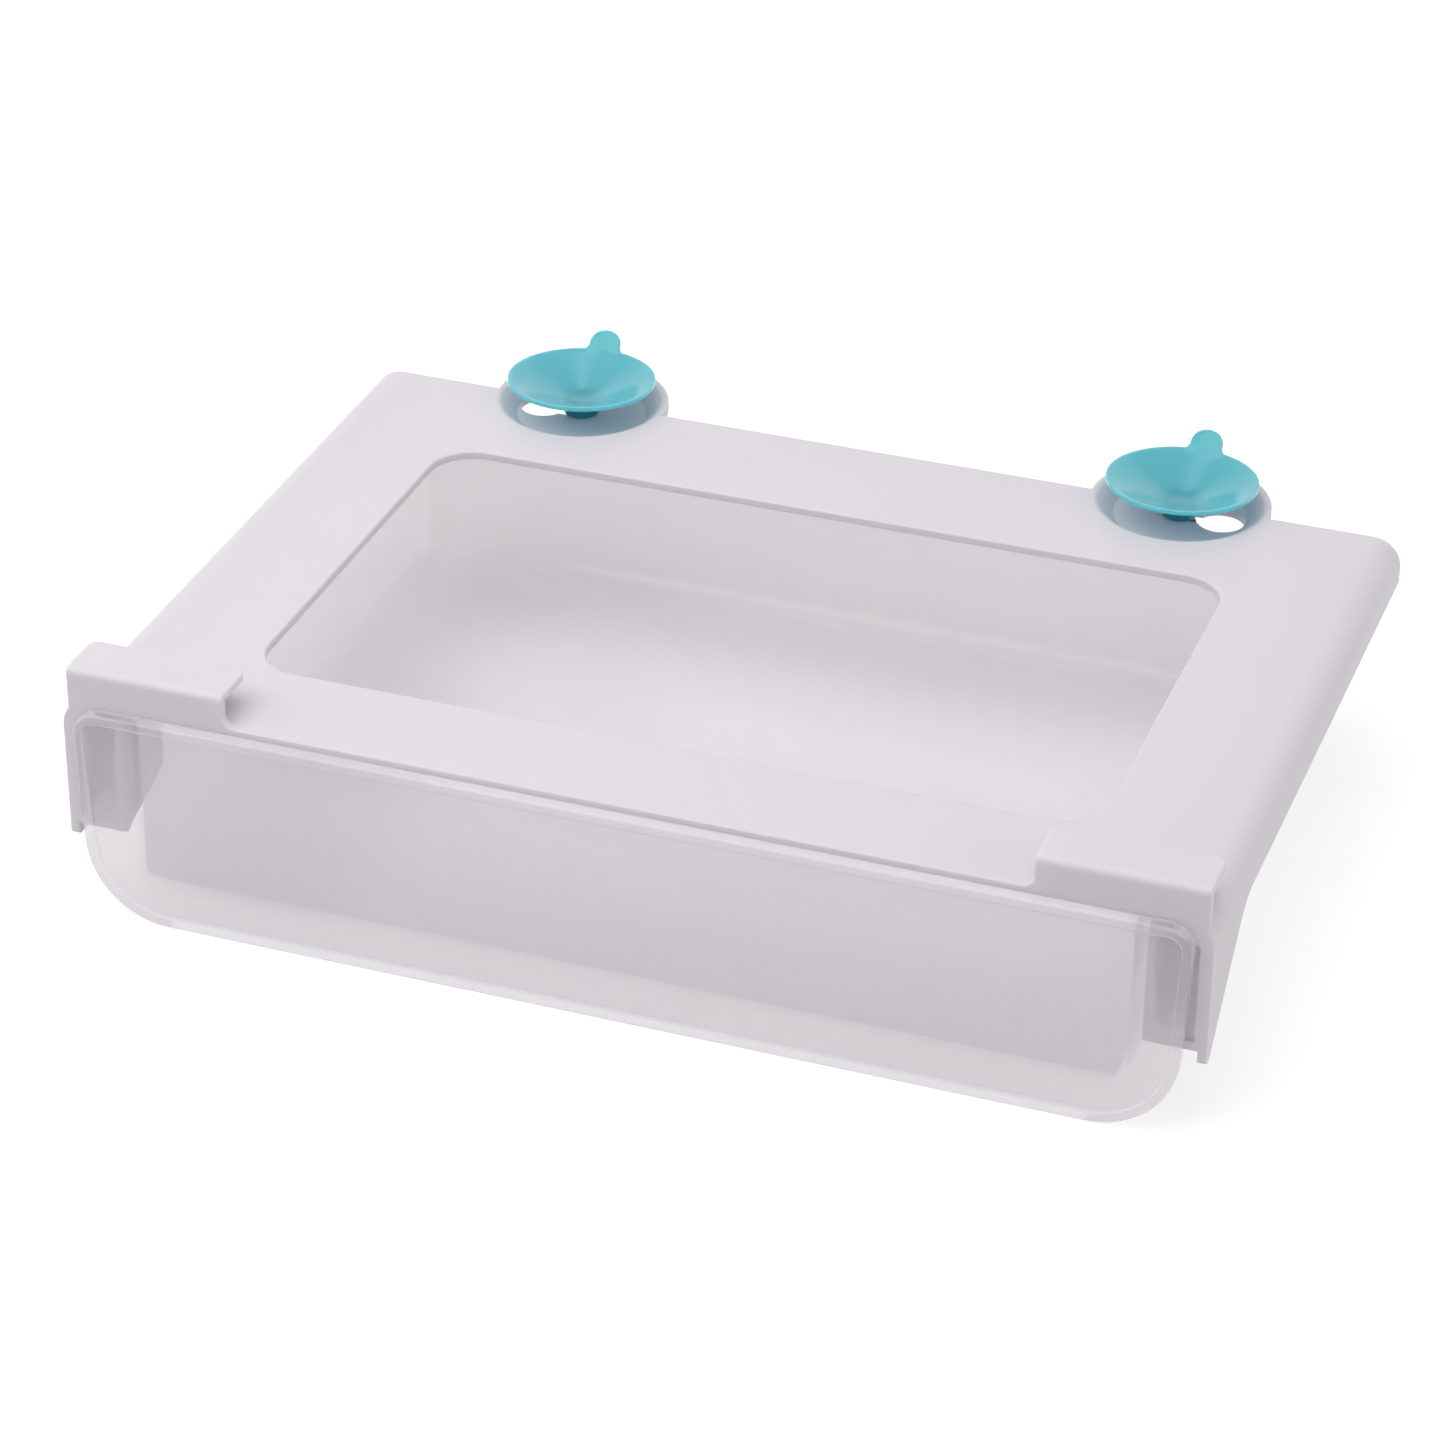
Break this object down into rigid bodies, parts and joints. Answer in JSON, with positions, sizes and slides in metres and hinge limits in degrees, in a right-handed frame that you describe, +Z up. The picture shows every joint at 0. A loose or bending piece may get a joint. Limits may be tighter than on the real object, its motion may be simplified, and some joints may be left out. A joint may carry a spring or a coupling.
{
  "type": "fridge drawer organizer",
  "caption": "White carrier frame with an open top that hooks under a fridge shelf, a clear pull-out drawer in it, and suction cups in keyholes at its rear edge.",
  "frame": {"origin": "middle of the bounding box's footprint, level with the lower edge of the drawer front", "axes": "+X to the right as seen from the front, +Y to the rear, +Z up; the drawer pulls out along -Y"},
  "size_m": [0.32, 0.2462, 0.077],
  "materials": {
    "white_plastic": "smooth moulded plastic with a soft sheen",
    "clear_plastic": "clear moulded plastic, slightly frosted",
    "teal_cup": "soft glossy plastic"
  },
  "bodies": {
    "carrier": {"carrier_frame": "white_plastic"},
    "drawer": {"drawer": "clear_plastic"},
    "cup_left": {"suction_cup_left": "teal_cup"},
    "cup_right": {"suction_cup_right": "teal_cup"}
  },
  "joints": [
    {"name": "drawer_slide", "type": "slide", "parent": "carrier", "child": "drawer", "axis": [0, -1, 0], "range_m": [0, 0.16]},
    {"name": "cup_slide_left", "type": "slide", "parent": "carrier", "child": "cup_left", "axis": [-1, 0, 0], "range_m": [0, 0.0123]},
    {"name": "cup_slide_right", "type": "slide", "parent": "carrier", "child": "cup_right", "axis": [1, 0, 0], "range_m": [0, 0.0123]}
  ]
}
